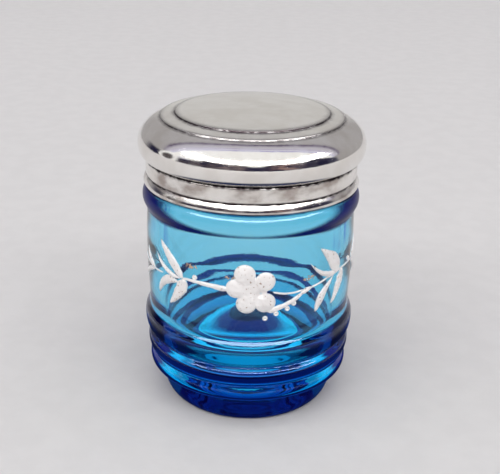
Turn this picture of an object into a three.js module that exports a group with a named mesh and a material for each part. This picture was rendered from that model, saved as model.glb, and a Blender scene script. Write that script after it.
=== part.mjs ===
// Glass dressing table jar, in millimetres, +Z up, standing on z = 0 with its axis on Z.
// A thick ribbed glass body carries a sheet-metal collar, set in cement over the neck.
// The metal lid lifts off: its sleeve drops inside the neck and its lip rests on the collar.
// White enamel sprays stand proud of the belly, laid on stroke by stroke. The front is -Y.
import * as THREE from "three";

// Facets of the turned pieces and of each curve in a profile
const TURN_FACETS = 48;
const CURVE_STEPS = 6;
const CURVE_STEPS_SMALL = 4;
const DOT_FACETS = [8, 6];
const PETAL_FACETS = 6;
const LEAF_FACETS = [8, 4];
const STEM_FACETS = [8, 2];

// Heights of the glass body
const FOOT_TOP_Z = 9.6;
const LOW_RIB_WIDEST_Z = 13.1;
const LOW_RIB_TOP_Z = 16.5;
const MID_RIB_WIDEST_Z = 20.2;
const MID_RIB_TOP_Z = 22.6;
const HIGH_RIB_WIDEST_Z = 28.8;
const BELLY_BASE_Z = 34.0;
const BELLY_WIDEST_Z = 55.0;
const BELLY_TOP_Z = 65.8;
const SHOULDER_Z = 72.9;
const NECK_RISE = 7.7;

// Girth of the glass body: how far each part stands in from the widest of the belly, and
// how far the high rib and the top rib swell out
const BELLY_RADIUS = 33.5;
const BELLY_BASE_INSET = 0.85;
const SHOULDER_INSET = 0.3;
const NECK_INSET = 3.1;
const MID_GROOVE_INSET = 1.9;
const LOW_GROOVE_INSET = 1.6;
const MID_RIB_INSET = 0.1;
const LOW_RIB_INSET = 0.7;
const FOOT_INSET = 4.9;
const FOOT_TAPER = 5.0;
const HIGH_RIB_SWELL = 0.8;
const TOP_RIB_SWELL = 1.5;
const BELLY_BASE_RADIUS = BELLY_RADIUS - BELLY_BASE_INSET;
const SHOULDER_RADIUS = BELLY_RADIUS - SHOULDER_INSET;
const NECK_RADIUS = BELLY_RADIUS - NECK_INSET;
const FOOT_RADIUS = BELLY_RADIUS - FOOT_INSET;
const BASE_RING_RADIUS = FOOT_RADIUS - FOOT_TAPER;

// Inside of the glass body and its hollow underside
const BELLY_WALL = 3.9;
const NECK_WALL = 3.0;
const LIP_ROUNDING = 1.0;
const WELL_FLOOR_Z = 19.2;
const WELL_FLOOR_RADIUS = 16.7;
const WELL_FLOOR_DOME = 8.9;
const WELL_CORNER_RISE = 8.2;
const WELL_TAPER = 1.8;
const SHOULDER_INSIDE_DROP = 5.0;
const BASE_RING_WIDTH = 11.2;
const PUNT_RISE = 4.4;

// Sheet metal, and the clearances between pieces
const SHEET = 0.8;
const SEAT_GAP = 0.3;
const SLEEVE_CLEARANCE = 0.5;

// Collar
const CEMENT_THICKNESS = 1.7;
const COLLAR_INSIDE_RADIUS = NECK_RADIUS + SEAT_GAP + CEMENT_THICKNESS + SEAT_GAP;
const COLLAR_RADIUS = COLLAR_INSIDE_RADIUS + SHEET;
const COLLAR_HEIGHT = 8.5;
const COLLAR_EDGE_ROUNDING = 0.5;
const BEAD_SWELL = 1.4;
const BEAD_HEIGHT = 3.2;
const BEAD_GROOVE = 0.35;
const LEDGE_SETBACK = 0.7;
const COLLAR_LEDGE_RADIUS = NECK_RADIUS - NECK_WALL + LEDGE_SETBACK;

// Lid
const LIP_INSET = 0.7;
const LIP_RADIUS = COLLAR_RADIUS - LIP_INSET;
const LIP_WIDTH = 2.4;
const CUSHION_SWELL = 3.1;
const CUSHION_RADIUS = LIP_RADIUS + CUSHION_SWELL;
const CUSHION_WIDEST_RISE = 4.6;
const CUSHION_WIDTH = 7.0;
const BROW_RADIUS = CUSHION_RADIUS - CUSHION_WIDTH;
const BROW_RISE = 12.2;
const EDGE_RISE = 0.5;
const EDGE_LEAN = 0.1;
const STEP_WIDTH = 4.4;
const STEP_RISE = 0.8;
const CROWN_RISE = 1.7;
const SLEEVE_DEPTH = 6.5;

// Enamel sprays, laid out on the belly round the middle of the blossom
const SPRAY_Z = 49.6;
const SPRAY_REACH = 30.0;
const SPRAY_RISE_SHARE = 1 / 3;
const SPRAY_RISE = SPRAY_REACH * SPRAY_RISE_SHARE;
const ENAMEL_GAP = 0.2;
const ENAMEL_EDGE = 0.2;
const BLOSSOM_REACH_SHARE = 0.277;
const BLOSSOM_REACH = SPRAY_REACH * BLOSSOM_REACH_SHARE;
const PETAL_ROUND_SHARE = 0.41;
const PETAL_ROUND_RADIUS = BLOSSOM_REACH * PETAL_ROUND_SHARE;
const PETAL_ROOT = 0.5;
const PETAL_GAP = 0.3;
const PETAL_THICKNESS = 1.0;
const LEAF_THICKNESS = 0.7;
const STEM_THICKNESS = 0.6;
const STEM_WIDTH = 0.6;
const LEAF_WIDTH = 4.2;
const TIP_WIDTH = 0.3;
const DOT_RADIUS = 0.8;
const DOT_THICKNESS = 0.8;
const PETAL_COUNT = 5;
const BLOSSOM_TURN = THREE.MathUtils.degToRad(34);
const BLOSSOM_PLACE_SHARES = [0.02, 0];
const PETAL_REACH_SHARES = [0.97, 1.03, 0.95, 0.96, 1.07];

const glassFinish = new THREE.MeshStandardMaterial({
  name: "coloured_glass",
  color: 0x2f93c4,
  roughness: 0.05,
  metalness: 0,
  transparent: true,
  opacity: 0.6,
});
const platedFinish = new THREE.MeshStandardMaterial({
  name: "plated_metal",
  color: 0xc9c4ba,
  roughness: 0.2,
  metalness: 1,
});
const cementFinish = new THREE.MeshStandardMaterial({
  name: "white_cement",
  color: 0xd8d2c4,
  roughness: 0.9,
  metalness: 0,
});
const enamelFinish = new THREE.MeshStandardMaterial({
  name: "white_enamel",
  color: 0xeae6e0,
  roughness: 0.45,
  metalness: 0,
});

// A body of revolution from a closed outline of radius and height, turned to stand on Z
function turned(name, outline, finish, steps = CURVE_STEPS) {
  const geometry = new THREE.LatheGeometry(outline.getPoints(steps), TURN_FACETS);
  geometry.rotateX(Math.PI / 2);
  const mesh = new THREE.Mesh(geometry, finish);
  mesh.name = name;
  return mesh;
}

// Radius of the barrel-shaped belly at a height
function bellyRadiusAt(height) {
  const share = (height - BELLY_WIDEST_Z) / (BELLY_WIDEST_Z - BELLY_BASE_Z);
  return BELLY_RADIUS - (BELLY_RADIUS - BELLY_BASE_RADIUS) * share * share;
}

// Glass body: foot, three ribs, belly, top rib, shoulder and neck, then the inside
function glassJar() {
  const outline = new THREE.Path();
  const midway = (low, high, share) => low + (high - low) * share;
  const footFlareShare = 0.65;
  const footRiseShare = 0.44;
  outline.moveTo(0, PUNT_RISE);
  const puntEdge = BASE_RING_RADIUS - BASE_RING_WIDTH;
  const puntCrownShare = 0.7;
  outline.quadraticCurveTo(puntEdge * puntCrownShare, PUNT_RISE, puntEdge, 0);
  outline.lineTo(BASE_RING_RADIUS, 0);
  outline.bezierCurveTo(
    midway(BASE_RING_RADIUS, FOOT_RADIUS, footFlareShare), 0,
    FOOT_RADIUS, FOOT_TOP_Z * footRiseShare,
    FOOT_RADIUS, FOOT_TOP_Z,
  );

  // Each rib widens from the groove under it and turns in sharply to the groove over it
  const underReachShare = 0.75;
  const underRiseShare = 0.15;
  const fullRiseShare = 0.45;
  const rib = (low, widest, high, shoulderShare) => {
    outline.bezierCurveTo(
      midway(low[0], widest[0], underReachShare), midway(low[1], widest[1], underRiseShare),
      widest[0], midway(low[1], widest[1], fullRiseShare),
      ...widest,
    );
    outline.bezierCurveTo(
      widest[0], midway(high[1], widest[1], shoulderShare / 2),
      high[0], midway(high[1], widest[1], shoulderShare),
      ...high,
    );
  };
  const footTop = [FOOT_RADIUS, FOOT_TOP_Z];
  const lowWidest = [BELLY_RADIUS - LOW_RIB_INSET, LOW_RIB_WIDEST_Z];
  const lowGroove = [BELLY_RADIUS - LOW_GROOVE_INSET, LOW_RIB_TOP_Z];
  const midWidest = [BELLY_RADIUS - MID_RIB_INSET, MID_RIB_WIDEST_Z];
  const midGroove = [BELLY_RADIUS - MID_GROOVE_INSET, MID_RIB_TOP_Z];
  const highWidest = [BELLY_RADIUS + HIGH_RIB_SWELL, HIGH_RIB_WIDEST_Z];
  const bellyBase = [BELLY_BASE_RADIUS, BELLY_BASE_Z];
  const lowShoulderShare = 0.5;
  const midShoulderShare = 0.37;
  const highShoulderShare = 0.65;
  rib(footTop, lowWidest, lowGroove, lowShoulderShare);
  rib(lowGroove, midWidest, midGroove, midShoulderShare);
  rib(midGroove, highWidest, bellyBase, highShoulderShare);
  for (let step = 1; step <= CURVE_STEPS; step += 1) {
    const height = midway(BELLY_BASE_Z, BELLY_TOP_Z, step / CURVE_STEPS);
    outline.lineTo(bellyRadiusAt(height), height);
  }

  // The top rib is a plain swelling, fullest at a share of its height
  const bellyTopRadius = bellyRadiusAt(BELLY_TOP_Z);
  const topRibShare = 0.54;
  outline.quadraticCurveTo(
    (bellyTopRadius + SHOULDER_RADIUS) / 2 + 2 * TOP_RIB_SWELL,
    midway(BELLY_TOP_Z, SHOULDER_Z, topRibShare),
    SHOULDER_RADIUS, SHOULDER_Z,
  );

  // Neck with a rounded lip
  const lipZ = SHOULDER_Z + NECK_RISE;
  const neckInside = NECK_RADIUS - NECK_WALL;
  outline.lineTo(NECK_RADIUS, SHOULDER_Z);
  outline.lineTo(NECK_RADIUS, lipZ - LIP_ROUNDING);
  outline.quadraticCurveTo(NECK_RADIUS, lipZ, NECK_RADIUS - LIP_ROUNDING, lipZ);
  outline.lineTo(neckInside + LIP_ROUNDING, lipZ);
  outline.quadraticCurveTo(neckInside, lipZ, neckInside, lipZ - LIP_ROUNDING);

  // Inside: neck, wall that follows the belly, rounded well and a floor pushed up in the middle
  const bellyInside = BELLY_RADIUS - BELLY_WALL;
  const wellTop = WELL_FLOOR_Z + WELL_CORNER_RISE;
  const wellSide = bellyInside - WELL_TAPER;
  outline.lineTo(neckInside, SHOULDER_Z);
  outline.bezierCurveTo(
    neckInside, SHOULDER_Z - SHOULDER_INSIDE_DROP / 2,
    bellyInside, SHOULDER_Z - SHOULDER_INSIDE_DROP / 2,
    bellyInside, SHOULDER_Z - SHOULDER_INSIDE_DROP,
  );
  outline.lineTo(bellyInside, BELLY_WIDEST_Z);
  outline.lineTo(wellSide, wellTop);
  const wellRiseShare = 0.62;
  const wellReachShare = 0.27;
  const floorTop = WELL_FLOOR_Z + WELL_FLOOR_DOME;
  outline.bezierCurveTo(
    wellSide, midway(WELL_FLOOR_Z, wellTop, wellRiseShare),
    midway(WELL_FLOOR_RADIUS, wellSide, wellReachShare), WELL_FLOOR_Z,
    WELL_FLOOR_RADIUS, WELL_FLOOR_Z,
  );
  outline.quadraticCurveTo(WELL_FLOOR_RADIUS / 2, floorTop, 0, floorTop);
  return turned("glass_jar", outline, glassFinish);
}

// Collar of sheet metal, from the rolled bead at its foot to the ledge over the glass lip.
// Its group stands at the foot of the bead.
const COLLAR_Z = SHOULDER_Z + SEAT_GAP;

function collar() {
  const outline = new THREE.Path();
  const inside = COLLAR_INSIDE_RADIUS;
  const top = COLLAR_HEIGHT;
  const groove = COLLAR_RADIUS - BEAD_GROOVE;
  outline.moveTo(inside, 0);
  outline.lineTo(SHOULDER_RADIUS, 0);
  outline.quadraticCurveTo(COLLAR_RADIUS + BEAD_SWELL, BEAD_HEIGHT / 2, groove, BEAD_HEIGHT);
  outline.lineTo(COLLAR_RADIUS, BEAD_HEIGHT + BEAD_GROOVE);
  outline.lineTo(COLLAR_RADIUS, top - COLLAR_EDGE_ROUNDING);
  outline.quadraticCurveTo(COLLAR_RADIUS, top, COLLAR_RADIUS - COLLAR_EDGE_ROUNDING, top);
  outline.lineTo(COLLAR_LEDGE_RADIUS, top);
  outline.lineTo(COLLAR_LEDGE_RADIUS, top - SHEET);
  outline.lineTo(inside, top - SHEET);
  outline.lineTo(inside, 0);
  return turned("collar", outline, platedFinish, CURVE_STEPS_SMALL);
}

// Ring of cement that fills the space between the neck and the collar
function neckCement() {
  const outline = new THREE.Path();
  const inside = NECK_RADIUS + SEAT_GAP;
  const outside = inside + CEMENT_THICKNESS;
  const top = COLLAR_HEIGHT - SHEET - SEAT_GAP;
  outline.moveTo(inside, 0);
  outline.lineTo(outside, 0);
  outline.lineTo(outside, top);
  outline.lineTo(inside, top);
  outline.lineTo(inside, 0);
  return turned("neck_cement", outline, cementFinish, CURVE_STEPS_SMALL);
}

// Lid shell, spun from one disc: turned-in lip, cushion rim, sloping brow, a step between
// two crisp edges and a low domed crown. The lid's group stands at the underside of the lip.
const LID_Z = COLLAR_Z + COLLAR_HEIGHT + SEAT_GAP;

function lidOutline(outline, inset, forward) {
  const stepRadius = BROW_RADIUS - EDGE_LEAN;
  const stepEnd = stepRadius - STEP_WIDTH;
  const crownRadius = stepEnd - EDGE_LEAN;
  const stepZ = BROW_RISE + EDGE_RISE;
  const crownZ = stepZ + STEP_RISE + EDGE_RISE;
  const undersideShare = 0.8;
  const browShare = 0.91;
  const curves = [
    [
      [LIP_RADIUS - inset / 2, inset],
      [LIP_RADIUS + (CUSHION_RADIUS - LIP_RADIUS) * undersideShare - inset, inset],
      [CUSHION_RADIUS - inset, CUSHION_WIDEST_RISE / 2],
      [CUSHION_RADIUS - inset, CUSHION_WIDEST_RISE],
    ],
    [
      [CUSHION_RADIUS - inset, CUSHION_WIDEST_RISE],
      [CUSHION_RADIUS - inset, CUSHION_WIDEST_RISE + (BROW_RISE - CUSHION_WIDEST_RISE) / 2],
      [(CUSHION_RADIUS + BROW_RADIUS) / 2 - inset / 2, BROW_RISE * browShare - inset],
      [BROW_RADIUS, BROW_RISE - inset],
    ],
    [[stepRadius, stepZ - inset], [stepEnd, stepZ + STEP_RISE - inset]],
    [
      [crownRadius, crownZ - inset],
      [crownRadius / 2, crownZ + CROWN_RISE - inset],
      [crownRadius / 4, crownZ + CROWN_RISE - inset],
      [0, crownZ + CROWN_RISE - inset],
    ],
  ];
  const ordered = forward ? curves : curves.map((curve) => [...curve].reverse()).reverse();
  for (const [start, ...rest] of ordered) {
    outline.lineTo(...start);
    if (rest.length === 1) {
      outline.lineTo(...rest[0]);
    } else {
      outline.bezierCurveTo(...rest[0], ...rest[1], ...rest[2]);
    }
  }
}

function lidShell() {
  const outline = new THREE.Path();
  const lipInside = LIP_RADIUS - LIP_WIDTH;
  outline.moveTo(lipInside, 0);
  lidOutline(outline, 0, true);
  lidOutline(outline, SHEET, false);
  outline.lineTo(lipInside, SHEET);
  outline.lineTo(lipInside, 0);
  return turned("lid_shell", outline, platedFinish, CURVE_STEPS_SMALL);
}

// Lid sleeve: a flange lies on the turned-in lip and a tube hangs down inside the neck
function lidSleeve() {
  const outline = new THREE.Path();
  const outside = NECK_RADIUS - NECK_WALL - SLEEVE_CLEARANCE;
  const inside = outside - SHEET;
  const flangeZ = SHEET + SEAT_GAP;
  const flangeTop = flangeZ + SHEET;
  outline.moveTo(inside, -SLEEVE_DEPTH);
  outline.lineTo(outside, -SLEEVE_DEPTH);
  outline.lineTo(outside, flangeZ);
  outline.lineTo(LIP_RADIUS - SHEET, flangeZ);
  outline.lineTo(LIP_RADIUS - SHEET, flangeTop);
  outline.lineTo(inside, flangeTop);
  outline.lineTo(inside, -SLEEVE_DEPTH);
  return turned("lid_sleeve", outline, platedFinish, CURVE_STEPS_SMALL);
}

// A place on the belly: arc length to the right of the front, height, and lift off the glass
function onBelly(arc, height, lift) {
  const angle = arc / BELLY_RADIUS;
  const radius = bellyRadiusAt(height) + ENAMEL_GAP + lift;
  return new THREE.Vector3(radius * Math.sin(angle), -radius * Math.cos(angle), height);
}

function sprayPoint([acrossShare, upShare]) {
  return new THREE.Vector2(acrossShare * SPRAY_REACH, SPRAY_Z + upShare * SPRAY_RISE);
}

// Bends a unit slab onto the belly: "layout" gives each corner its place and lift
function enamelDab(name, alongFacets, acrossFacets, layout) {
  const geometry = new THREE.BoxGeometry(1, 1, 1, alongFacets, acrossFacets, 1);
  const corners = geometry.attributes.position;
  for (let index = 0; index < corners.count; index += 1) {
    const along = corners.getX(index) + 0.5;
    const across = corners.getY(index) * 2;
    const { arc, height, crown } = layout(along, across);
    const lift = corners.getZ(index) > 0 ? crown : 0;
    const place = onBelly(arc, height, lift);
    corners.setXYZ(index, place.x, place.y, place.z);
  }
  geometry.computeVertexNormals();
  const mesh = new THREE.Mesh(geometry, enamelFinish);
  mesh.name = name;
  return mesh;
}

// One brush stroke: a quadratic spine of three shares, fullest at a share of its length
function stroke(name, spineShares, width, thickness, fullestShare, facets) {
  const spine = new THREE.QuadraticBezierCurve(...spineShares.map(sprayPoint));
  const skew = Math.log(0.5) / Math.log(fullestShare);
  return enamelDab(name, facets[0], facets[1], (along, across) => {
    const swell = Math.sin(Math.PI * along ** skew);
    const half = (TIP_WIDTH + (width - TIP_WIDTH) * swell) / 2;
    const centre = spine.getPoint(along);
    const heading = spine.getTangent(along);
    const round = Math.sqrt(1 - across * across);
    return {
      arc: centre.x - heading.y * across * half,
      height: centre.y + heading.x * across * half,
      crown: ENAMEL_EDGE + (thickness - ENAMEL_EDGE) * round * Math.sqrt(swell),
    };
  });
}

// One petal: a sector of a round lobe, set off from its neighbours by a narrow gap
function petal(index) {
  const heading = BLOSSOM_TURN + (index * 2 * Math.PI) / PETAL_COUNT;
  const halfSector = Math.PI / PETAL_COUNT;
  const setOff = PETAL_GAP / 2 / Math.sin(halfSector);
  const centre = sprayPoint(BLOSSOM_PLACE_SHARES);
  const reachShare = PETAL_REACH_SHARES[index % PETAL_REACH_SHARES.length];
  const roundRadius = PETAL_ROUND_RADIUS * reachShare;
  const roundPlace = BLOSSOM_REACH * reachShare - roundRadius - setOff;
  return enamelDab(`enamel_petal_${index + 1}`, PETAL_FACETS, PETAL_FACETS, (along, across) => {
    const turn = across * halfSector;
    const sideways = roundPlace * Math.sin(turn);
    const rim = roundPlace * Math.cos(turn) + Math.sqrt(roundRadius ** 2 - sideways ** 2);
    const reach = PETAL_ROOT + (rim - PETAL_ROOT) * along;
    const forward = setOff + reach * Math.cos(turn);
    const aside = reach * Math.sin(turn);
    const round = Math.sqrt(Math.sin(Math.PI * along) * Math.cos((Math.PI / 2) * across));
    return {
      arc: centre.x + forward * Math.cos(heading) - aside * Math.sin(heading),
      height: centre.y + forward * Math.sin(heading) + aside * Math.cos(heading),
      crown: ENAMEL_EDGE + (PETAL_THICKNESS - ENAMEL_EDGE) * round,
    };
  });
}

// One round dot of enamel, turned to face out of the belly
function dot(name, placeShares) {
  const centre = sprayPoint(placeShares);
  const mesh = new THREE.Mesh(new THREE.SphereGeometry(1, ...DOT_FACETS), enamelFinish);
  mesh.name = name;
  mesh.scale.set(DOT_RADIUS, DOT_THICKNESS / 2, DOT_RADIUS);
  mesh.rotation.z = centre.x / BELLY_RADIUS;
  mesh.position.copy(onBelly(centre.x, centre.y, DOT_THICKNESS / 2));
  return mesh;
}

// Stems: name, spine shares, width and where each is fullest
function stems() {
  const stemShares = [
    ["left_stem", [[-0.26, -0.01], [-0.47, 0.09], [-0.7, 0.06]], 3, 0.25],
    ["left_far_stem", [[-1.06, -0.08], [-1.3, -0.16], [-1.6, 0.02]], 1, 0.5],
    ["right_upper_stem", [[0.29, -0.1], [0.4, -0.22], [0.5, -0.14]], 1, 0.5],
    ["right_lower_stem", [[0.268, -0.69], [0.4, -0.52], [0.528, -0.31]], 2, 0.3],
    ["right_stem_tip", [[0.69, -0.12], [0.77, -0.08], [0.86, -0.02]], 1, 0.5],
    ["right_far_stem", [[0.89, 0.01], [1.2, 0.14], [1.6, 0.06]], 1, 0.5],
  ];
  return stemShares.map(([name, spineShares, widthShare, fullestShare]) => {
    const width = STEM_WIDTH * widthShare;
    return stroke(`enamel_${name}`, spineShares, width, STEM_THICKNESS, fullestShare, STEM_FACETS);
  });
}

// Leaves and the bud: name, spine shares from base to tip, widest width and where
function leaves() {
  const leafShares = [
    ["left_leaf_upper", [[-0.715, 0.12], [-0.87, 0.46], [-1.06, 1.03]], 0.92, 0.42],
    ["left_leaf_slim", [[-0.79, 0.02], [-1.0, 0.02], [-1.15, 0.5]], 0.36, 0.4],
    ["left_leaf_low", [[-0.83, -0.15], [-1.03, -0.17], [-1.12, -0.81]], 0.7, 0.45],
    ["left_leaf_drop", [[-0.705, -0.06], [-0.76, -0.44], [-0.93, -0.99]], 0.86, 0.35],
    ["left_far_leaf_upper", [[-1.2, -0.03], [-1.33, 0.05], [-1.42, 0.45]], 0.36, 0.45],
    ["left_far_leaf_lower", [[-1.24, -0.2], [-1.4, -0.25], [-1.5, -0.65]], 0.36, 0.45],
    ["right_bud", [[0.545, -0.275], [0.6, -0.2], [0.67, -0.13]], 0.36, 0.5],
    ["right_leaf_upper", [[1.02, 0.18], [1.09, 0.5], [0.78, 1.06]], 1.05, 0.42],
    ["right_leaf_slim", [[0.955, 0.17], [0.83, 0.1], [0.65, 0.66]], 0.4, 0.35],
    ["right_leaf_outer", [[1.12, -0.04], [1.1, -0.35], [0.98, -0.95]], 0.9, 0.38],
    ["right_leaf_inner", [[1.0, -0.04], [0.79, -0.35], [0.75, -1.0]], 0.6, 0.62],
    ["right_far_leaf_upper", [[1.42, 0.2], [1.55, 0.35], [1.6, 0.8]], 0.36, 0.45],
    ["right_far_leaf_lower", [[1.44, -0.02], [1.58, -0.12], [1.64, -0.6]], 0.36, 0.45],
  ];
  return leafShares.map(([name, spineShares, widthShare, fullestShare]) => {
    const width = LEAF_WIDTH * widthShare;
    return stroke(`enamel_${name}`, spineShares, width, LEAF_THICKNESS, fullestShare, LEAF_FACETS);
  });
}

function dots() {
  const dotShares = [
    ["left_dot", [-0.57, 0.24]],
    ["right_dot_1", [0.47, -0.57]],
    ["right_dot_2", [0.4, -0.69]],
    ["right_dot_3", [0.28, -0.82]],
    ["right_dot_4", [0.17, -0.96]],
    ["right_far_bud", [1.3, 0.26]],
  ];
  return dotShares.map(([name, placeShares]) => dot(`enamel_${name}`, placeShares));
}

function blossom() {
  return Array.from({ length: PETAL_COUNT }, (_, index) => petal(index));
}

const jarGroup = new THREE.Group();
jarGroup.add(glassJar(), ...blossom(), ...stems(), ...leaves(), ...dots());

const collarGroup = new THREE.Group();
collarGroup.position.z = COLLAR_Z;
collarGroup.add(collar(), neckCement());

const lidGroup = new THREE.Group();
lidGroup.position.z = LID_Z;
lidGroup.add(lidShell(), lidSleeve());

const dressingTableJar = new THREE.Group();
dressingTableJar.name = "dressing_table_jar";
dressingTableJar.add(jarGroup, collarGroup, lidGroup);

export default dressingTableJar;
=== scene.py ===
import math

import bmesh
import bpy
from mathutils import Matrix, Vector, noise
from mathutils.geometry import interpolate_bezier


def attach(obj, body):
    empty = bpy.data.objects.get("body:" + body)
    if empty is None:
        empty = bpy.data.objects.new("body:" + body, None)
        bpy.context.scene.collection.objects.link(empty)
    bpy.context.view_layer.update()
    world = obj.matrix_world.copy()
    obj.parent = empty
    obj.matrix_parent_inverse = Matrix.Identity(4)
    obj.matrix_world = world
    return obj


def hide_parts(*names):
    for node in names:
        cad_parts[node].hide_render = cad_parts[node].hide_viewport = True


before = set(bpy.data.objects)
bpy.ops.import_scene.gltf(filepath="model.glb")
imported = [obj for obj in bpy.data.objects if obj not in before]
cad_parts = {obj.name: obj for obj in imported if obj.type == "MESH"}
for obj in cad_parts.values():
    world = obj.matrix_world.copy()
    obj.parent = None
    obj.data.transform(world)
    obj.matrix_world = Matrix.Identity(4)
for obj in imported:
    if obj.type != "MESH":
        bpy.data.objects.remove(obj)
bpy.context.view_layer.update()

# Blue glass body
# One thick blown and moulded piece of clear blue glass: a foot, three ribs, a barrel-shaped
# belly, a top rib and a neck. Its thick floor is pushed up in the middle, over a ground ring.

MM = 0.001
BELLY_RADIUS = 33.5
BELLY_WIDEST_Z = 55.0
BELLY_BASE_Z = 34.0
BELLY_TOP_Z = 65.8
BELLY_TAPER = 0.85
GROOVES = [(28.6, 9.6), (31.9, 16.5), (31.6, 22.6), (32.65, 34.0)]
RIBS = [((32.8, 13.1), 0.5), ((33.4, 20.2), 0.37), ((34.3, 28.8), 0.65)]
WELL_RADIUS = 29.8
WELL_SIDE = (27.85, 27.6)
WELL_FLOOR = (17.25, 19.95)
WELL_CENTRE_Z = 27.8
GLASS_STEP = 0.45
GLASS_TURNS = 160

# The clear glass: its faces' own tints, what it mirrors and how it deepens with thickness
CLEAR_TONES = ((0.97, 0.99, 1, 1), (1, 1, 1, 1))
GLASS_IOR = 1.5
GLASS_GLINT = (0.6, 0.75, 1.0, 1)
GLASS_DEPTH = (0.0, 0.785, 0.935, 1)
GLASS_DENSITY = 168

# Deeper tints by height, distance from the axis or place towards the front, in millimetres. Those
# of the top rib's edges and the foot are partly or wholly painted shade
OUTER_FACE = (30.2, 30.8)
RIB_BAND = (16, 30)
RIB_BLUE = (0.50, 0.74, 1, 1)
STREAK_BAND = (55, 61)
STREAK_BLUE = (0.03, 0.14, 0.6, 1)
# Painted shade: navy on the top rib's sides where they are seen edge-on
TOP_RIB = ((64.5, 66.0), (72.0, 73.2))
CRESCENT_SHADE_NAVY = (0.0005, 0.003, 0.10, 1)
CRESCENT_SHADE_SHARE = 0.85
# Round the foot: a deeper blue, partly the thick glass's own and partly painted shade, and an
# opaque navy sheet of painted shade
FOOT_BAND = (7, 14)
FOOT_RIM = (23.6, 25.0)
FOOT_BLUE_AND_SHADE = (0.03, 0.08, 0.55, 1)
FOOT_SHADE_BAND = (8.6, 10.4)
FOOT_SHADE_RIM = (24, 25)
FOOT_SHADE_SHARE = 0.7
NAVY_SHADE_TONES = ((0.0, 0.0, 0.075, 1), (0.0, 0.002, 0.11, 1))

# Painted shade: dark rings round the well, as (height or radius, half width), where the grooves
# show dark through the glass. They stray, and fade in front
WALL_SHADE_RINGS = [(34.2, 0.95), (27.6, 1.0)]
FLOOR_SHADE_RING = (22.4, 1.0)
RING_SHADE_NAVY = (0.0, 0.002, 0.06, 1)
RING_WANDER = 2.4
RING_FRONT = (-16, -8)
ABOVE_BASE = (17, 18)

# Worn traces of gilding on the front of the belly
GILT_TRACES = [(-17.5, 55.0), (-5.6, 53.2), (18.1, 51.7)]
GILT_SIZE = (2.4, 1.1)
GILT_FACE = (31, 32)
GILT_FRONT = (-15, -12)
GILT_TONES = ((0.34, 0.20, 0.13, 1), (0.60, 0.43, 0.30, 1))


def outline_points(spans, steps=24):
    """Points along straight, quadratic and cubic spans of (radius, height) in millimetres."""
    points = []
    for span in spans:
        knots = [Vector((radius, 0, height)) for radius, height in span]
        start, end = knots[0], knots[-1]
        pulls = knots[1:-1] or [start.lerp(end, 0.5)]
        if len(pulls) == 1:
            pulls = [start.lerp(pulls[0], 2 / 3), end.lerp(pulls[0], 2 / 3)]
        run = interpolate_bezier(start, *pulls, end, steps)
        points += run[1:] if points else run
    return points


def evened(points, spacing, eases):
    """The same outline in equal steps, with its corners eased as fire or a spinner leaves them."""
    even = [points[0]]
    left = spacing
    for start, end in zip(points, points[1:]):
        run = (end - start).length
        while run > left:
            start = start.lerp(end, left / run)
            even.append(start)
            run = (end - start).length
            left = spacing
        left -= run
    even.append(points[-1])
    for _ in range(eases):
        inner = [
            (before + 2 * here + after) / 4
            for before, here, after in zip(even, even[1:], even[2:])
        ]
        even = [even[0], *inner, even[-1]]
    return even


def turned(points, turns):
    """A body of revolution about Z, in metres, from outline points in the XZ plane."""
    shape = bmesh.new()
    corners = [shape.verts.new(point * MM) for point in points]
    edges = [shape.edges.new(pair) for pair in zip(corners, corners[1:])]
    bmesh.ops.spin(
        shape, geom=corners + edges, cent=(0, 0, 0), axis=(0, 0, 1),
        angle=math.tau, steps=turns, use_merge=True,
    )
    bmesh.ops.remove_doubles(shape, verts=shape.verts, dist=0.01 * MM)
    bmesh.ops.recalc_face_normals(shape, faces=shape.faces)
    return shape


def finished(name, shape, material, body, stands_for):
    """Makes a bmesh into a smooth piece that rides on a body and stands for CAD nodes."""
    mesh = bpy.data.meshes.new(name)
    shape.to_mesh(mesh)
    shape.free()
    mesh.materials.append(material)
    mesh.shade_smooth()
    piece = bpy.data.objects.new(name, mesh)
    bpy.context.scene.collection.objects.link(piece)
    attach(piece, body)
    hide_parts(*stands_for)


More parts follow.
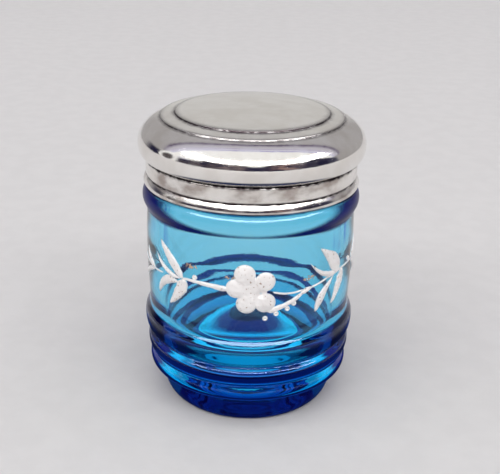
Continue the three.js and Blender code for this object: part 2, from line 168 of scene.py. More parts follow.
class Shade:
    """One output of a material's nodes. Python's operators on it add Math nodes."""

    def __init__(self, tree, socket=None):
        self.tree = tree
        self.socket = socket

    def node(self, kind, settings=None, inputs=None, output=0):
        """Adds any node: its settings first, then the values or links of its sockets."""
        made = self.tree.nodes.new(kind)
        for name, value in (settings or {}).items():
            if name == "stops":
                ramp = made.color_ramp
                while len(ramp.elements) < len(value):
                    ramp.elements.new(0.5)
                for element, (place, colour) in zip(ramp.elements, value):
                    element.position = place
                    element.color = (*colour, 1)
            else:
                setattr(made, name, value)
        for name, value in (inputs or {}).items():
            if isinstance(value, Shade):
                self.tree.links.new(value.socket, made.inputs[name])
            else:
                made.inputs[name].default_value = value
        return Shade(self.tree, made.outputs[output])

    def maths(self, operation, first, second):
        return self.node("ShaderNodeMath", {"operation": operation}, {0: first, 1: second})

    def __add__(self, other):
        return self.maths("ADD", self, other)

    def __radd__(self, other):
        return self.maths("ADD", other, self)

    def __sub__(self, other):
        return self.maths("SUBTRACT", self, other)

    def __rsub__(self, other):
        return self.maths("SUBTRACT", other, self)

    def __mul__(self, other):
        return self.maths("MULTIPLY", self, other)

    def __rmul__(self, other):
        return self.maths("MULTIPLY", other, self)

    def __truediv__(self, other):
        return self.maths("DIVIDE", self, other)

    def __pow__(self, other):
        return self.maths("POWER", self, other)

    def least(self, other):
        return self.maths("MINIMUM", self, other)

    def most(self, other):
        return self.maths("MAXIMUM", self, other)

    def ramped(self, start, end, low=0.0, high=1.0):
        """Eases from low to high as this value goes from start to end."""
        inputs = {"From Min": start, "From Max": end, "To Min": low, "To Max": high, "Value": self}
        return self.node("ShaderNodeMapRange", {"interpolation_type": "SMOOTHSTEP"}, inputs)

    def faded(self, start, end):
        """Eases from 1 to 0 as this value goes from start to end."""
        return self.ramped(start, end, 1.0, 0.0)

    def between(self, rise, fall):
        """1 between two spans of this value, easing in over the first and out over the second."""
        return self.ramped(*rise) * self.faded(*fall)

    def mixed(self, first, second):
        """A colour between two, by this value."""
        settings = {"data_type": "RGBA"}
        return self.node("ShaderNodeMix", settings, {"Factor": self, 6: first, 7: second}, 2)

    def noise(self, scale, detail=3.0, stretch=(1, 1, 1)):
        """Noise over the piece's own coordinates, in features per metre."""
        place = self.node("ShaderNodeTexCoord", output=3)
        place = self.node("ShaderNodeMapping", inputs={"Vector": place, "Scale": stretch})
        inputs = {"Vector": place, "Scale": scale, "Detail": detail}
        return self.node("ShaderNodeTexNoise", inputs=inputs)

    def along(self, axis):
        """The piece's own X, Y or Z, in millimetres."""
        place = self.node("ShaderNodeTexCoord", output=3)
        return self.node("ShaderNodeSeparateXYZ", inputs={"Vector": place}, output=axis) / MM

    def radius(self):
        """Distance from the jar's axis, in millimetres."""
        east, north = self.along("X"), self.along("Y")
        return (east * east + north * north) ** 0.5

    def bumped(self, height, distance):
        return self.node("ShaderNodeBump", inputs={"Height": height, "Distance": distance})

    def ends(self, surface, volume=None):
        output = self.tree.nodes.new("ShaderNodeOutputMaterial")
        self.tree.links.new(surface.socket, output.inputs["Surface"])
        if volume:
            self.tree.links.new(volume.socket, output.inputs["Volume"])


def new_finish(name):
    """An empty material, and the Shade that adds its nodes."""
    material = bpy.data.materials.new(name)
    material.use_nodes = True
    material.node_tree.nodes.clear()
    return material, Shade(material.node_tree)


def ring_line(distance, half_width):
    """1 along a line, easing to 0 a little beyond its half width."""
    return ((distance / half_width) ** 2).faded(0.6, 1.3)


def glass_tint(shade, edge_on, crescent_shade, waves, draw_lines):
    """The faces' tint: clear on the belly, bluer on the ribs and foot, with painted navy shade on
    the foot, the top rib's edges and rings in the well.
    """
    height, radius = shade.along("Z"), shade.radius()
    outer = radius.ramped(*OUTER_FACE)
    clear = shade.noise(200).ramped(0.3, 0.7).mixed(*CLEAR_TONES)
    ribbed = (height.faded(*RIB_BAND) * outer).mixed(clear, RIB_BLUE)
    streaks = height.ramped(*STREAK_BAND) * draw_lines.ramped(0.5, 0.62) * edge_on.ramped(0.3, 0.6)
    # Painted shade: navy on the top rib's sides where they are seen edge-on
    edged = crescent_shade.mixed(streaks.mixed(ribbed, STREAK_BLUE), CRESCENT_SHADE_NAVY)
    # Painted shade: dark navy rings on the well's inner faces, where the grooves show dark through
    # the glass
    stray = (waves - 0.5) * RING_WANDER
    rings = ring_line(radius - FLOOR_SHADE_RING[0] + stray, FLOOR_SHADE_RING[1])
    for place, half_width in WALL_SHADE_RINGS:
        rings = rings.most(ring_line(height - place + stray, half_width))
    far_side = shade.along("Y").ramped(*RING_FRONT, 0.15, 1.0)
    rings = rings * height.ramped(*ABOVE_BASE) * (1.0 - outer) * far_side
    # Round the foot a deeper blue, partly the thick glass's own colour and partly painted shade
    foot_side = height.faded(*FOOT_BAND) * radius.ramped(*FOOT_RIM)
    return foot_side.mixed(rings.mixed(edged, RING_SHADE_NAVY), FOOT_BLUE_AND_SHADE)


def gilt_patches(shade):
    """1 on the patches of the belly's front where some gilding is left."""
    east, height = shade.along("X"), shade.along("Z")
    wide, high = GILT_SIZE
    patches = None
    for place_x, place_z in GILT_TRACES:
        patch = (((east - place_x) / wide) ** 2 + ((height - place_z) / high) ** 2).faded(0.2, 1.0)
        patches = patches.most(patch) if patches else patch
    return patches * (shade.radius().ramped(*GILT_FACE) * shade.along("Y").faded(*GILT_FRONT))


def blue_glass():
    """Clear glass with waves and draw lines, worn gilding, and painted navy shade on its foot and
    the top rib's edges.
    """
    material, shade = new_finish("blue_glass")
    height, radius = shade.along("Z"), shade.radius()
    waves = shade.noise(70, 2)
    draw_lines = shade.noise(260, 2, stretch=(1, 1, 0.12))
    specks = shade.noise(1500, 2)
    edge_on = shade.node("ShaderNodeLayerWeight", inputs={"Blend": 0.5}, output="Facing")
    # Painted shade on the top rib's edge-on sides, in the tint and by the navy sheet below
    crescent_shade = height.between(*TOP_RIB) * edge_on.ramped(0.27, 0.48)
    glass = {
        "Base Color": glass_tint(shade, edge_on, crescent_shade, waves, draw_lines),
        "Roughness": specks.ramped(0.5, 0.8, 0.0, 0.04),
        "IOR": GLASS_IOR,
        "Specular Tint": GLASS_GLINT,
        "Transmission Weight": 1.0,
        "Normal": shade.bumped(waves * 0.15 + draw_lines * 0.08 + specks * 0.02, 0.25 * MM),
    }
    rubbed = shade.noise(1100, 4)
    gilt = {"Base Color": rubbed.ramped(0.4, 0.7).mixed(*GILT_TONES), "Roughness": 0.6}
    # Painted shade: an opaque, barely glossy navy sheet laid over the glass on the foot and the top
    # rib's edges
    navy_shade_tone = shade.noise(90).ramped(0.3, 0.7).mixed(*NAVY_SHADE_TONES)
    foot = {"Base Color": navy_shade_tone, "Roughness": 0.3, "Specular IOR Level": 0.1}
    clear_glass = shade.node("ShaderNodeBsdfPrincipled", inputs=glass)
    gilt_paint = shade.node("ShaderNodeBsdfPrincipled", inputs=gilt)
    navy_shade_sheet = shade.node("ShaderNodeBsdfPrincipled", inputs=foot)
    worn = gilt_patches(shade) * rubbed.ramped(0.44, 0.56)
    gilded = shade.node("ShaderNodeMixShader", inputs={0: worn, 1: clear_glass, 2: gilt_paint})
    # Where the navy shade sheet covers the glass: low on the foot's outside and on the top rib's
    # edges
    foot_shade = height.ramped(*FOOT_SHADE_BAND, FOOT_SHADE_SHARE, 0.0) * radius.ramped(*FOOT_SHADE_RIM)
    painted_navy = foot_shade.most(crescent_shade * CRESCENT_SHADE_SHARE)
    surface = shade.node("ShaderNodeMixShader", inputs={0: painted_navy, 1: gilded, 2: navy_shade_sheet})
    depth = {"Color": GLASS_DEPTH, "Density": GLASS_DENSITY}
    shade.ends(surface, shade.node("ShaderNodeVolumeAbsorption", inputs=depth))
    return material


def belly_radius(height):
    """The belly swells a little between its two ends."""
    share = (height - BELLY_WIDEST_Z) / (BELLY_WIDEST_Z - BELLY_BASE_Z)
    return BELLY_RADIUS - BELLY_TAPER * share * share


def rib(low, widest, high, shoulder):
    """A rib from the groove under it to the groove over it, where it turns in sharply."""
    rise, fall = widest[1] - low[1], high[1] - widest[1]
    under = (low[0] + (widest[0] - low[0]) * 0.75, low[1] + rise * 0.15)
    over = (widest[0], widest[1] + fall * (1 - shoulder / 2))
    return [
        (low, under, (widest[0], widest[1] - rise * 0.55), widest),
        (widest, over, (high[0], high[1] - fall * shoulder), high),
    ]


def glass_outline():
    """From the hollow under the base, up the outside, over the lip and down into the well."""
    base_z = GROOVES[-1][1]
    heights = [base_z + (BELLY_TOP_Z - base_z) * step / 8 for step in range(1, 9)]
    belly = [GROOVES[-1], *[(belly_radius(height), height) for height in heights]]
    ribs = []
    for low, high, (widest, shoulder) in zip(GROOVES, GROOVES[1:], RIBS):
        ribs += rib(low, widest, high, shoulder)
    side_r, side_z = WELL_SIDE
    floor_r, floor_z = WELL_FLOOR
    return [
        ((0, 4.4), (8.7, 4.4), (12.4, 0)),
        ((12.4, 0), (23.6, 0)),
        ((23.6, 0), (26.85, 0), (28.6, 4.2), GROOVES[0]),
        *ribs,
        *zip(belly, belly[1:]),
        (belly[-1], (36.2, 69.6), (33.2, 72.9)),
        ((33.2, 72.9), (30.4, 72.9)),
        ((30.4, 72.9), (30.4, 79.6)),
        ((30.4, 79.6), (30.4, 80.6), (29.4, 80.6)),
        ((29.4, 80.6), (28.4, 80.6)),
        ((28.4, 80.6), (27.4, 80.6), (27.4, 79.6)),
        ((27.4, 79.6), (27.4, 72.9)),
        ((27.4, 72.9), (27.4, 70.4), (WELL_RADIUS, 70.4), (WELL_RADIUS, 67.9)),
        ((WELL_RADIUS, 67.9), (WELL_RADIUS, 55.0)),
        ((WELL_RADIUS, 55.0), WELL_SIDE),
        (
            WELL_SIDE, (side_r, side_z + (floor_z - side_z) * 0.2),
            (floor_r + (side_r - floor_r) * 0.18, floor_z), WELL_FLOOR,
        ),
        (WELL_FLOOR, (floor_r * 0.5, WELL_CENTRE_Z), (0, WELL_CENTRE_Z)),
    ]


glass_points = evened(outline_points(glass_outline()), GLASS_STEP, 2)
finished(
    "blue_glass_body", turned(glass_points, GLASS_TURNS), blue_glass(),
    "jar", ["glass_jar"],
)

# White enamel flower
# Thick white enamel, brushed on in single strokes and fired until it fused to the glass: a
# blossom of five round lobes with a dimple, curving stems, pointed leaves and round dots.

ENAMEL_BED = 0.08
ENAMEL_WELD = 0.01
BLOSSOM_CENTRE = Vector((0.8, 49.3))
BLOSSOM_CORE = 4.7
BLOSSOM_HEIGHT = 1.05
BLOSSOM_WEB = 0.66
PETAL_SWELL = 0.34
PETALS = [
    ((-1.3, 54.6), 3.3),
    ((4.9, 52.4), 3.1),
    ((5.0, 45.4), 3.25),
    ((-0.7, 45.0), 3.2),
    ((-4.0, 50.0), 3.05),
]
DIMPLE = (Vector((3.6, 48.6)), 1.7)
DIMPLE_DEPTH = 0.6
LEAF_HEIGHT = 0.6
STEM_HEIGHT = 0.5
DOT_RADIUS = 0.85
DOT_HEIGHT = 0.6
CRATER_DEPTH = 0.95
CRATER_WIDTH = 0.6
UNEVEN_HEIGHT = 0.14
UNEVEN_EDGE = 0.18
ENAMEL_TONES = ((0.87, 0.84, 0.825, 1), (0.93, 0.91, 0.90, 1))
THIN_BLUE = (0.40, 0.66, 0.80, 1)
PIT_BROWN = (0.38, 0.26, 0.20, 1)

# Leaves and bud: CAD node, places of base, pull and tip, widest width and where it is widest
LEAVES = [
    ("left_leaf_upper", [(-21.5, 50.0), (-25.7, 54.3), (-31.8, 60.0)], 3.4, 0.42),
    ("left_leaf_slim", [(-22.6, 49.8), (-29.2, 49.7), (-34.6, 55.0)], 1.5, 0.4),
    ("left_leaf_low", [(-23.4, 48.3), (-31.0, 49.0), (-33.5, 41.4)], 3.0, 0.45),
    ("left_leaf_drop", [(-20.8, 49.9), (-22.6, 45.0), (-27.9, 39.6)], 4.2, 0.33),
    ("left_far_leaf_upper", [(-35.8, 49.0), (-39.9, 50.1), (-42.6, 54.1)], 1.6, 0.4),
    ("left_far_leaf_lower", [(-36.8, 48.0), (-42.0, 47.3), (-45.0, 43.1)], 1.6, 0.4),
    ("right_bud", [(15.8, 46.6), (18.0, 48.2), (20.6, 48.5)], 1.6, 0.5),
    ("right_leaf_upper", [(30.6, 50.3), (32.6, 53.6), (23.2, 60.3)], 5.0, 0.4),
    ("right_leaf_slim", [(30.0, 51.0), (24.4, 50.2), (19.4, 56.4)], 1.8, 0.3),
    ("right_leaf_outer", [(34.4, 50.8), (33.8, 45.6), (29.4, 40.0)], 3.9, 0.4),
    ("right_leaf_inner", [(30.8, 50.4), (24.8, 46.6), (22.3, 39.4)], 2.9, 0.68),
    ("right_far_leaf_upper", [(42.6, 51.6), (46.5, 53.1), (48.0, 57.6)], 1.6, 0.4),
    ("right_far_leaf_lower", [(43.2, 49.9), (47.4, 48.6), (49.2, 43.6)], 1.6, 0.4),
]
# Stems: CAD node, places of its start, pull and end, and its width at both ends
STEMS = [
    ("left_stem", [(-6.4, 49.4), (-13.8, 50.6), (-22.0, 50.1)], (2.1, 0.7)),
    ("left_far_stem", [(-30.8, 49.1), (-38.5, 47.9), (-48.0, 49.8)], (0.7, 0.5)),
    ("right_upper_stem", [(7.2, 48.9), (12.0, 47.1), (17.2, 48.3)], (0.7, 0.6)),
    ("right_lower_stem", [(5.6, 42.4), (12.4, 43.9), (17.0, 47.3)], (2.0, 1.1)),
    ("right_stem_tip", [(19.8, 48.4), (25.8, 49.3), (30.6, 51.3)], (0.8, 0.5)),
    ("right_far_stem", [(26.4, 49.7), (36.4, 51.9), (48.0, 50.2)], (0.9, 0.5)),
]
DOTS = [
    ("left_dot", (-17.1, 51.6)),
    ("right_dot_1", (14.1, 44.3)),
    ("right_dot_2", (12.0, 42.8)),
    ("right_dot_3", (8.5, 41.5)),
    ("right_dot_4", (5.1, 40.1)),
    ("right_far_bud", (39.0, 52.4)),
]


def white_enamel():
    """Milk-white enamel, clouded and pitted. It lets the blue through where it runs thin."""
    material, shade = new_finish("white_enamel")
    film = shade.node("ShaderNodeAttribute", {"attribute_name": "film"}, output="Fac")
    clouds = shade.noise(420, 4)
    pits = shade.noise(1500, 1).ramped(0.67, 0.72)
    white = clouds.ramped(0.35, 0.7).mixed(*ENAMEL_TONES)
    thinned = film.ramped(0.0, 0.22, 0.55, 0.0).mixed(white, THIN_BLUE)
    inputs = {
        "Base Color": pits.mixed(thinned, PIT_BROWN),
        "Roughness": clouds.ramped(0.3, 0.8, 0.28, 0.5),
        "Normal": shade.bumped(clouds * 0.5 - pits * 0.6, 0.12 * MM),
    }
    shade.ends(shade.node("ShaderNodeBsdfPrincipled", inputs=inputs))
    return material


enamel_white = white_enamel()


def on_belly(place):
    """Bends a flat place (arc to the right of the front, height, lift, in mm) onto the belly."""
    angle = place.x / BELLY_RADIUS
    radius = belly_radius(place.y) + place.z
    return Vector((radius * math.sin(angle), -radius * math.cos(angle), place.y)) * MM


def laid_on(name, cells, layout, nodes):
    """A dab of enamel: layout turns (along, across) into a flat place with its thickness."""
    shape = bmesh.new()
    bmesh.ops.create_grid(shape, x_segments=cells[0], y_segments=cells[1], size=0.5)
    for corner in shape.verts:
        corner.co = layout(corner.co.x + 0.5, corner.co.y * 2)
        corner.co.z *= 1 + UNEVEN_HEIGHT * noise.noise(corner.co * 0.9)
    bmesh.ops.remove_doubles(shape, verts=shape.verts, dist=ENAMEL_WELD)
    film = shape.verts.layers.float.new("film")
    for corner in shape.verts:
        corner[film] = corner.co.z
    bed = bmesh.ops.extrude_face_region(shape, geom=shape.faces[:], use_keep_orig=True)
    for corner in bed["geom"]:
        if isinstance(corner, bmesh.types.BMVert):
            corner.co.z = -ENAMEL_BED
    for corner in shape.verts:
        corner.co = on_belly(corner.co)
    bmesh.ops.recalc_face_normals(shape, faces=shape.faces)
    finished(name, shape, enamel_white, "jar", nodes)


def brushed(name, knots, half_width, height, cells):
    """A stroke along a curve of three places, with half_width(along) to either side."""
    start, pull, end = (Vector(knot) for knot in knots)

    def layout(along, across):
        early, late = start.lerp(pull, along), pull.lerp(end, along)
        heading = (late - early).normalized()
        half = half_width(along)
        wander = UNEVEN_EDGE * half * noise.noise(Vector((along * 9, across, start.x)))
        aside = across * half + wander
        place = early.lerp(late, along) + Vector((-heading.y, heading.x)) * aside
        crown = height * math.sqrt(max(0.0, 1 - across * across)) * min(1.0, half * 1.6)
        return Vector((*place, crown))

    laid_on(name, cells, layout, [f"enamel_{name}"])


def blossom_layout(along, across):
    """Polar layout: along runs from the centre to the rim, across is half turns round it."""
    turn = math.pi * across
    ray = Vector((math.cos(turn), math.sin(turn)))
    rim = BLOSSOM_CORE
    for place, radius in PETALS:
        middle = Vector(place) - BLOSSOM_CENTRE
        ahead = middle.dot(ray)
        reach = radius * radius - (middle.length_squared - ahead * ahead)
        if reach > 0 and ahead > 0:
            rim = max(rim, ahead + math.sqrt(reach))
    place = BLOSSOM_CENTRE + ray * rim * along
    lobe = max(
        1 - (place - Vector(centre)).length_squared / radius ** 2
        for centre, radius in PETALS
    )
    dent = max(0.0, 1 - (place - DIMPLE[0]).length_squared / DIMPLE[1] ** 2)
    share = BLOSSOM_WEB + PETAL_SWELL * max(0.0, lobe) - DIMPLE_DEPTH * dent * dent
    crown = BLOSSOM_HEIGHT * share
    return Vector((*place, crown * math.sqrt(max(0.0, 1 - along ** 7))))


laid_on("blossom", (36, 180), blossom_layout, [f"enamel_petal_{index}" for index in range(1, 6)])

for leaf_name, leaf_knots, width, widest in LEAVES:
    skew = math.log(0.5) / math.log(widest)
    brushed(
        leaf_name, leaf_knots,
        lambda along, width=width, skew=skew: width / 2 * math.sin(math.pi * along ** skew) ** 0.8,
        LEAF_HEIGHT, (40, 14),
    )

for stem_name, stem_knots, (wide, narrow) in STEMS:
    brushed(
        stem_name, stem_knots,
        lambda along, wide=wide, narrow=narrow: (
            (wide + (narrow - wide) * along) / 2 * min(1.0, (12 * along * (1 - along)) ** 0.5)
        ),
        STEM_HEIGHT, (44, 10),
    )

for dot_name, dot_place in DOTS:
    def dot_layout(along, across, centre=Vector(dot_place)):
        """A round drop with a small crater where its bubble burst."""
        turn = math.pi * across
        place = centre + Vector((math.cos(turn), math.sin(turn))) * DOT_RADIUS * along
        crater = CRATER_DEPTH * max(0.0, 1 - (along / CRATER_WIDTH) ** 2)
        return Vector((*place, DOT_HEIGHT * (math.sqrt(max(0.0, 1 - along ** 3)) - crater)))

    laid_on(dot_name, (10, 24), dot_layout, [f"enamel_{dot_name}"])

# Metal collar
# A band of silver-plated sheet metal with a rolled bead at its foot, set over the glass neck
# in cement. Its top edge turns in over the glass lip.

COLLAR_STEP = 0.22
METAL_TURNS = 192
SILVER_TONES = ((0.80, 0.77, 0.73, 1), (0.88, 0.86, 0.83, 1))
SMUDGE_BROWN = (0.34, 0.28, 0.25, 1)
TARNISH_AND_REFLECTION_BLACK = (0.030, 0.020, 0.024, 1)


def plated_silver(name, seams, polish, smudged=0.0, caked=0.3):
    """Silver plate, worn soft, with dark lines (height, spread, depth): tarnished seams, and on the
    lid's steps painted dark reflection as well.
    """
    material, shade = new_finish(name)
    height = shade.along("Z")
    blotches = shade.noise(150, 4)
    grime = shade.noise(520, 4)
    smudges = shade.noise(110, 5, stretch=(1, 1, 1.8))
    # Dark lines: tarnished seams, and painted dark reflection where the caller puts them on steps
    tarnish_and_dark_reflection = None
    for place, spread, depth in seams:
        off = height - place + (grime - 0.5) * (spread * 1.5 * caked)
        near = (off * off) ** 0.5
        line = near.ramped(0.0, spread, depth, 0.0)
        tarnish_and_dark_reflection = tarnish_and_dark_reflection.most(line) if tarnish_and_dark_reflection else line
    tarnish_and_dark_reflection = (tarnish_and_dark_reflection * grime.ramped(0.3, 0.6, 1 - caked / 2, 1 + caked * 0.7)).least(1.0)
    silver = blotches.ramped(0.3, 0.7).mixed(*SILVER_TONES)
    dulled = (smudges.ramped(0.40, 0.68) * smudged).mixed(silver, SMUDGE_BROWN)
    scratches = shade.noise(900, 2, stretch=(1, 1, 6))
    inputs = {
        "Base Color": tarnish_and_dark_reflection.mixed(dulled, TARNISH_AND_REFLECTION_BLACK),
        "Metallic": 1.0,
        "Roughness": blotches.ramped(0.35, 0.75, *polish) + tarnish_and_dark_reflection * 0.3,
        "Normal": shade.bumped(blotches * 0.5 + scratches * 0.03, 0.12 * MM),
    }
    shade.ends(shade.node("ShaderNodeBsdfPrincipled", inputs=inputs))
    return material


def collar_outline():
    """Bead, band, turned-in edge and inside, back to the bead's foot."""
    return [
        ((32.7, 73.2), (33.2, 73.2)),
        ((33.2, 73.2), (34.5, 73.4), (34.2, 74.5)),
        ((34.2, 74.5), (34.0, 75.3), (33.2, 76.4)),
        ((33.2, 76.4), (33.15, 76.45)),
        ((33.15, 76.45), (33.5, 76.75)),
        ((33.5, 76.75), (33.5, 81.2)),
        ((33.5, 81.2), (33.5, 81.7), (33.0, 81.7)),
        ((33.0, 81.7), (28.1, 81.7)),
        ((28.1, 81.7), (28.1, 80.9)),
        ((28.1, 80.9), (32.7, 80.9)),
        ((32.7, 80.9), (32.7, 73.2)),
    ]


collar_silver = plated_silver(
    "collar_silver", [(82.0, 1.4, 1.0), (76.6, 0.75, 1.0), (73.2, 0.5, 0.9)],
    polish=(0.12, 0.26), smudged=0.85, caked=0.6,
)
finished(
    "silver_collar", turned(evened(outline_points(collar_outline()), COLLAR_STEP, 1), METAL_TURNS),
    collar_silver, "jar", ["collar"],
)

# Cement ring
# White cement run into the gap between the glass neck and the collar. It grips both, and
# nothing else holds the collar on.

CEMENT_TONES = ((0.58, 0.53, 0.45, 1), (0.74, 0.70, 0.62, 1))


def cement():
    material, shade = new_finish("cement")
    grain = shade.noise(900, 5)
    inputs = {
        "Base Color": grain.ramped(0.3, 0.7).mixed(*CEMENT_TONES),
        "Roughness": 0.9,
        "Normal": shade.bumped(grain, 0.2 * MM),
    }
    shade.ends(shade.node("ShaderNodeBsdfPrincipled", inputs=inputs))
    return material


cement_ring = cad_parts["neck_cement"]
cement_ring.data.materials.clear()
cement_ring.data.materials.append(cement())

# Lid shell
# Spun over a former from one disc of the same plated sheet: a turned-in lip, a fat cushion
# rim, a small step and a low domed crown. It lifts straight off.

LID_STEP = 0.2


def lid_outline():
    """From the lip out round the cushion rim, over the step and up to the crown's middle."""
    return [
        ((30.4, 82.0), (32.8, 82.0)),
        ((32.8, 82.0), (35.28, 82.0), (35.9, 84.3), (35.9, 86.6)),
        ((35.9, 86.6), (35.9, 90.35), (32.5, 93.1), (28.9, 94.2)),
        ((28.9, 94.2), (28.8, 94.7)),
        ((28.8, 94.7), (24.4, 95.5)),
        ((24.4, 95.5), (24.3, 96.0)),
        ((24.3, 96.0), (12.2, 97.7), (6.1, 97.7), (0, 97.7)),
    ]


def lid_inside():
    """The same sheet from within, from the crown's middle back to the lip."""
    return [
        ((0, 96.9), (6.1, 96.9), (12.2, 96.9), (24.3, 95.2)),
        ((24.3, 95.2), (24.4, 94.7)),
        ((24.4, 94.7), (28.8, 93.9)),
        ((28.8, 93.9), (28.9, 93.4)),
        ((28.9, 93.4), (32.1, 92.3), (35.1, 90.35), (35.1, 86.6)),
        ((35.1, 86.6), (35.1, 84.3), (34.5, 82.8), (32.4, 82.8)),
        ((32.4, 82.8), (30.4, 82.8)),
        ((30.4, 82.8), (30.4, 82.0)),
    ]


# The two lines on the crown's steps are painted dark reflection as well as tarnished metal
lid_silver = plated_silver(
    "lid_silver", [(82.0, 0.5, 1.0), (94.4, 0.6, 0.8), (95.75, 0.55, 0.95)],
    polish=(0.08, 0.2),
)
lid_points = evened(outline_points(lid_outline()), LID_STEP, 1)
lid_points += evened(outline_points(lid_inside()), LID_STEP * 3, 1)[1:]
finished(
    "silver_lid", turned(lid_points, METAL_TURNS), lid_silver,
    "lid", ["lid_shell"],
)

# Lid sleeve
# A short tube of the same sheet with a flange, soldered inside the lid. It drops into the
# neck and keeps the lid from sliding off.


def sleeve_outline():
    """Tube and flange, from the tube's lower edge."""
    return [
        ((26.1, 75.5), (26.9, 75.5)),
        ((26.9, 75.5), (26.9, 83.1)),
        ((26.9, 83.1), (32.0, 83.1)),
        ((32.0, 83.1), (32.0, 83.9)),
        ((32.0, 83.9), (26.1, 83.9)),
        ((26.1, 83.9), (26.1, 75.5)),
    ]


sleeve_silver = plated_silver(
    "sleeve_silver", [(83.1, 1.0, 0.8), (75.5, 0.8, 0.7)],
    polish=(0.2, 0.4),
)
finished(
    "silver_sleeve", turned(evened(outline_points(sleeve_outline()), COLLAR_STEP, 1), METAL_TURNS),
    sleeve_silver, "lid", ["lid_sleeve"],
)

# Table, light and camera
# A plain pale table with a wide soft light overhead and in front, as in a small studio. The
# camera stands a little above the lid and looks down at the jar.

TABLE_SIZE = 16.0
TABLE_TONE = (0.70, 0.688, 0.675, 1)
TABLE_MOTTLE = 0.97

# Painted light and shade: the table as the jar's glass shows it, dark as of shadow under the jar
# and bright as of light through the glass. Each tone, and where it starts and ends, as shares of a
# distance from the jar's axis in millimetres
SEEN_STRENGTH = 2.2
SEEN_REACH = 40
PAINTED_SEEN_BANDS = [
    ((0.45, 0.45, 0.40), 0.0, 0.39),
    ((0.95, 0.95, 0.72), 0.42, 0.47),
    ((0.0, 0.012, 0.13), 0.505, 0.595),
    ((1.0, 1.0, 0.75), 0.63, 0.80),
    ((0.33, 0.33, 0.36), 0.9, 1.0),
]

# The table as it is mirrored, in the jar's own shade close by
MIRRORED_NEAR = (0.02, 0.03, 0.08, 1)
MIRRORED_SPAN = (62, 95)

# The room, by height up and by turn round the jar, from -1 to 1 with 0 at the front
ROOM_BACK = (0.62, 0.61, 0.60, 1)
ROOM_SIDES = (0.40, 0.385, 0.39, 1)
ROOM_HIGH = (0.45, 0.44, 0.46, 1)
ROOM_SEEN = (0.85, 0.85, 0.9, 1)
NAVY_DUSK = (0.018, 0.016, 0.045, 1)
GREY_DUSK = (0.075, 0.062, 0.066, 1)
WINDOW_TONE = (1.0, 1.0, 1.0, 1)
WINDOW_TURNS = (-0.44, 0.53)
WINDOW_HALF = 2.45
WINDOW_FRAME = 0.55
GLARE_TONE = (15.0, 15.0, 15.0, 1)
GLARE_BAND = ((0.54, 0.58), (0.70, 0.74))
DOOR_PLACE = (-0.5, 0.16)
DOOR_SIZE = (0.055, 0.22)
CORNER_TURN = -0.6
SILL_RAGGED = 0.16
SILL_HEIGHTS = [
    (0.0, 0.22), (0.16, 0.52), (0.3, 0.60), (0.43, 0.42), (0.5, 0.37),
    (0.56, 0.50), (0.64, 0.70), (0.86, 0.60), (1.0, 0.26),
]
FURNITURE_STOPS = [
    (0.0, (0.08, 0.06, 0.07)), (0.22, (0.10, 0.08, 0.09)), (0.36, (0.32, 0.25, 0.24)),
    (0.45, (0.03, 0.03, 0.07)), (0.55, (0.05, 0.04, 0.07)), (0.62, (0.34, 0.22, 0.21)),
    (0.7, (0.28, 0.20, 0.20)), (0.78, (0.06, 0.055, 0.08)), (1.0, (0.05, 0.05, 0.09)),
]
FRAME_STOPS = [
    (0.0, (1.0, 1.0, 1.0)), (0.10, (0.30, 0.28, 0.62)), (0.18, (0.86, 0.86, 0.95)),
    (0.30, (0.48, 0.45, 0.62)), (0.46, (0.62, 0.60, 0.66)), (0.70, (0.44, 0.42, 0.50)),
    (0.80, (0.11, 0.085, 0.16)), (0.86, (0.13, 0.10, 0.17)), (1.0, (0.42, 0.40, 0.42)),
]

LAMP_HEIGHT = 3.0
PANEL = {"size": (10.0, 4.0), "forward": 2.0, "power": 38, "mirrored": False}
STRIP = {"size": (9.0, 0.3), "forward": 3.0, "power": 146, "mirrored": True}
CAMERA_PLACE = (0.0, -0.30387, 0.17519)
CAMERA_PITCH = 21.85
CAMERA_ROLL = 1.2
CAMERA_LENS = 72
CAMERA_NEAREST = 0.01
LIGHT_BOUNCES = 24


def mirrored_rays(shade, refracted):
    """1 for mirrored rays. Is Glossy Ray alone is 1 for refracted rays too."""
    return (shade.node("ShaderNodeLightPath", output="Is Glossy Ray") - refracted).most(0)


def table_paper():
    """Pale matt paper, with painted light and shade in place of its lit tone for rays that come
    through or off the jar.
    """
    material, shade = new_finish("table_paper")
    mottle = shade.noise(90, 5)
    darker = tuple(tone * TABLE_MOTTLE for tone in TABLE_TONE)
    tone = mottle.ramped(0.35, 0.65).mixed(darker, TABLE_TONE)
    inputs = {"Base Color": tone, "Roughness": 0.9, "Normal": shade.bumped(mottle, 0.3 * MM)}
    lit = shade.node("ShaderNodeBsdfPrincipled", inputs=inputs)
    # Painted light and shade: a glowing tone by distance from the jar, for rays through the glass
    stops = [(end, tone) for tone, *ends in PAINTED_SEEN_BANDS for end in ends]
    share = shade.radius() / SEEN_REACH
    seen_tone = shade.node("ShaderNodeValToRGB", {"stops": stops}, {"Fac": share})
    glow = {"Color": seen_tone, "Strength": SEEN_STRENGTH}
    seen = shade.node("ShaderNodeEmission", inputs=glow)
    refracted = shade.node("ShaderNodeLightPath", output="Is Transmission Ray")
    through = shade.node("ShaderNodeMixShader", inputs={0: refracted, 1: lit, 2: seen})
    near = shade.node("ShaderNodeEmission", inputs={"Color": MIRRORED_NEAR, "Strength": 1.0})
    close_by = mirrored_rays(shade, refracted) * shade.radius().faded(*MIRRORED_SPAN)
    shade.ends(shade.node("ShaderNodeMixShader", inputs={0: close_by, 1: through, 2: near}))
    return material


table_shape = bmesh.new()
bmesh.ops.create_grid(table_shape, x_segments=1, y_segments=1, size=TABLE_SIZE / 2)
table_mesh = bpy.data.meshes.new("table")
table_shape.to_mesh(table_mesh)
table_shape.free()
table_mesh.materials.append(table_paper())
table = bpy.data.objects.new("table", table_mesh)
bpy.context.scene.collection.objects.link(table)

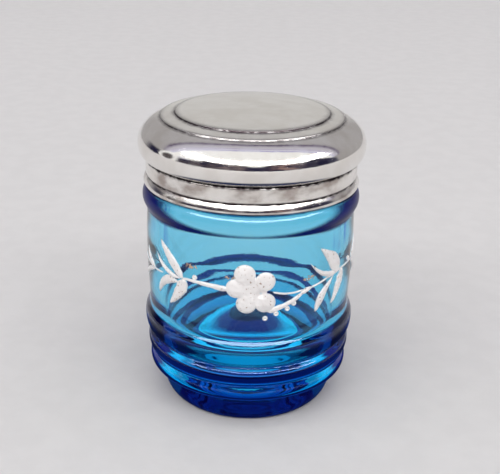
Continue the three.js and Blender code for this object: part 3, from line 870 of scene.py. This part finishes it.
room = bpy.data.worlds.new("room")
room.use_nodes = True
room.node_tree.nodes.clear()
walls = Shade(room.node_tree)
heading = walls.node("ShaderNodeTexCoord", output="Generated")
east = walls.node("ShaderNodeSeparateXYZ", inputs={"Vector": heading}, output="X")
ahead = 0 - walls.node("ShaderNodeSeparateXYZ", inputs={"Vector": heading}, output="Y")
up = walls.node("ShaderNodeSeparateXYZ", inputs={"Vector": heading}, output="Z")
sideways = (east * east) ** 0.5
turn = walls.maths("ARCTAN2", east, ahead) / math.pi
grain = {"Vector": heading, "Scale": 7.0, "Detail": 4.0}
ragged = walls.node("ShaderNodeTexNoise", inputs=grain)

# The window's sill rises and falls along the front, and dark furniture stands below it
window = {"Value": turn, "From Min": WINDOW_TURNS[0], "From Max": WINDOW_TURNS[1]}
front_turn = walls.node("ShaderNodeMapRange", inputs=window)
sill_stops = [(place, (height,) * 3) for place, height in SILL_HEIGHTS]
sill = walls.node("ShaderNodeValToRGB", {"stops": sill_stops}, {"Fac": front_turn})
above_sill = (up - sill - (ragged - 0.5) * SILL_RAGGED).ramped(-0.05, 0.02)
furniture = walls.node("ShaderNodeValToRGB", {"stops": FURNITURE_STOPS}, {"Fac": front_turn})
dusk = ragged.ramped(0.42, 0.6).mixed(furniture, NAVY_DUSK)

# Rings of light and shade round the window's frame, measured on a flat ceiling
level = up.most(0.02)
over_side = (sideways / level - WINDOW_HALF).most(0)
over_back = (0 - ahead / level).most(0)
beyond = (over_side * over_side + over_back * over_back) ** 0.5
rings = walls.node("ShaderNodeValToRGB", {"stops": FRAME_STOPS}, {"Fac": beyond / WINDOW_FRAME})
room_low = sideways.ramped(0.1, 0.35).mixed(ROOM_BACK, ROOM_SIDES)
room_walls = up.ramped(0.45, 0.75).mixed(room_low, ROOM_HIGH)
overhead = beyond.ramped(0.5, 0.6).mixed(rings, room_walls)

# A dark doorway to the left, with a bright frame round it and a dusky corner beside it
door_turn, door_up = DOOR_PLACE
door_wide, door_high = DOOR_SIZE
off_door = (((turn - door_turn) / door_wide) ** 2 + ((up - door_up) / door_high) ** 2) ** 0.5
corner = (turn - CORNER_TURN).ramped(-0.14, -0.04) * (turn - door_turn).faded(-0.02, 0.0)
in_front = front_turn.between((0.0, 0.02), (0.97, 1.0))
around = (in_front * (1.0 - above_sill)).mixed(overhead, dusk)
around = (corner * up.faded(0.2, 0.32)).mixed(around, NAVY_DUSK)
around = off_door.faded(1.25, 1.35).mixed(around, WINDOW_TONE)
around = off_door.faded(0.7, 0.9).mixed(around, GREY_DUSK)

# Glass shows an even room behind it, and only what mirrors the window shows its glare
refracted = walls.node("ShaderNodeLightPath", output="Is Transmission Ray")
glare = up.between(*GLARE_BAND) * in_front * mirrored_rays(walls, refracted)
room_tone = glare.mixed(refracted.mixed(around, ROOM_SEEN), GLARE_TONE)
background = walls.node("ShaderNodeBackground", inputs={"Color": room_tone, "Strength": 1.0})
world_output = room.node_tree.nodes.new("ShaderNodeOutputWorld")
room.node_tree.links.new(background.socket, world_output.inputs["Surface"])
bpy.context.scene.world = room

for lamp_name, lamp_place in (("soft_panel", PANEL), ("window_strip", STRIP)):
    lamp = bpy.data.lights.new(lamp_name, "AREA")
    lamp.shape = "RECTANGLE"
    lamp.size, lamp.size_y = lamp_place["size"]
    lamp.energy = lamp_place["power"]
    fitting = bpy.data.objects.new(lamp_name, lamp)
    fitting.location = (0, -lamp_place["forward"], LAMP_HEIGHT)
    fitting.visible_glossy = lamp_place["mirrored"]
    bpy.context.scene.collection.objects.link(fitting)

camera = bpy.data.cameras.new("camera")
camera.lens = CAMERA_LENS
camera.clip_start = CAMERA_NEAREST
viewer = bpy.data.objects.new("camera", camera)
tilt = Matrix.Rotation(math.radians(90 - CAMERA_PITCH), 4, "X")
roll = Matrix.Rotation(math.radians(CAMERA_ROLL), 4, "Z")
viewer.matrix_world = Matrix.Translation(CAMERA_PLACE) @ tilt @ roll
bpy.context.scene.collection.objects.link(viewer)
bpy.context.scene.camera = viewer

scene = bpy.context.scene
scene.view_settings.view_transform = "Standard"
scene.cycles.max_bounces = LIGHT_BOUNCES
scene.cycles.transmission_bounces = LIGHT_BOUNCES
